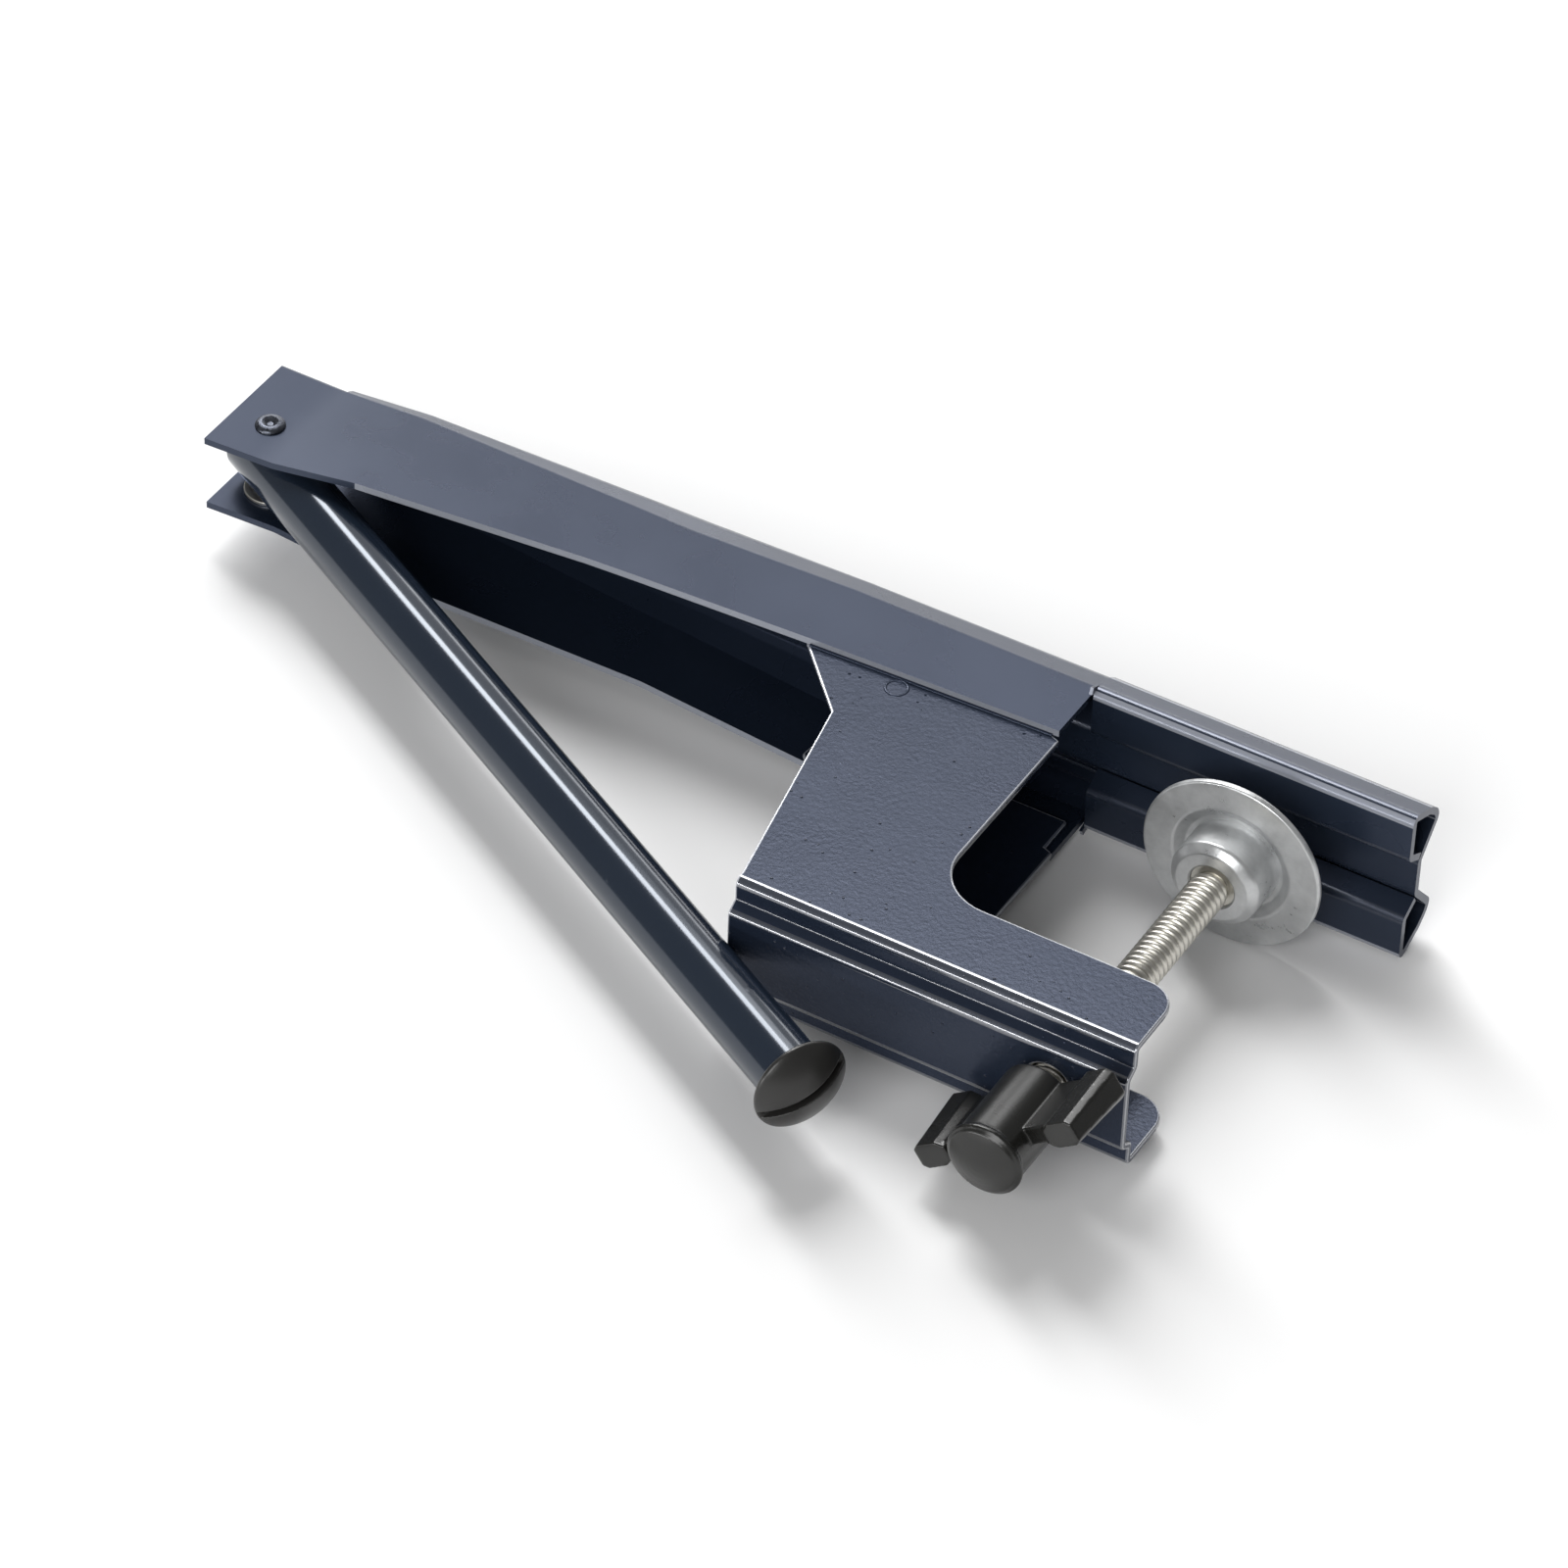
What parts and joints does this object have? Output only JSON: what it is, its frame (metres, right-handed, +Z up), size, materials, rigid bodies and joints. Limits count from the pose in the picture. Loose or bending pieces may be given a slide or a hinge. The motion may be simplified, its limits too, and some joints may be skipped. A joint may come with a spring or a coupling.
{
  "type": "table tennis net clamp",
  "caption": "Folding steel table clamp for a table tennis net: channel arm, bracket, clamp screw with swivel pad and wing knob, hinged net post.",
  "frame": {"origin": "under the middle of the bounding box, on the surface that the folded clamp lies on", "axes": "+X along the arm from the post's pivot to the jaw's tip, +Y the way the table's top faces in use, +Z up through the side that is on top when the clamp lies down"},
  "size_m": [0.2074, 0.1006, 0.03],
  "materials": {
    "arm_paint": "satin",
    "bracket_paint": "textured satin",
    "post_paint": "gloss",
    "screw_steel": "bright",
    "zinc": "zinc plated",
    "knob_plastic": "satin",
    "cap_plastic": "satin",
    "rivet_steel": "dark plated"
  },
  "bodies": {
    "frame": {"arm_channel": "arm_paint", "clamp_bracket": "bracket_paint", "weld_nut": "screw_steel", "pivot_rivet": "rivet_steel", "pivot_washers": "screw_steel"},
    "carriage": {"swivel_ball": "screw_steel"},
    "screw": {"clamp_screw": "screw_steel", "wing_knob": "knob_plastic"},
    "pad": {"pressure_disc": "zinc", "swivel_hub": "zinc"},
    "post": {"net_tube": "post_paint", "tube_cap": "cap_plastic"}
  },
  "joints": [
    {"name": "tube_swing", "type": "hinge", "parent": "frame", "child": "post", "pos_m": [-0.09634, 0.03413, 0.015], "axis": [0, 0, -1], "range_deg": [0, 241.76]},
    {"name": "screw_feed", "type": "slide", "parent": "frame", "child": "carriage", "axis": [0, 1, 0], "range_m": [-0.034, 0.0022]},
    {"name": "screw_turn", "type": "hinge", "parent": "carriage", "child": "screw", "pos_m": [0.07846, 0.00413, 0.015], "axis": [0, 1, 0], "range_deg": [-9630, 620]},
    {"name": "pad_tilt", "type": "hinge", "parent": "carriage", "child": "pad", "pos_m": [0.07846, 0.02973, 0.015], "axis": [0, 0, 1], "range_deg": [-8, 8]}
  ],
  "couplings": [
    {"joint": "screw_feed", "follows": "screw_turn", "m_per_rad": 0.00020213}
  ]
}
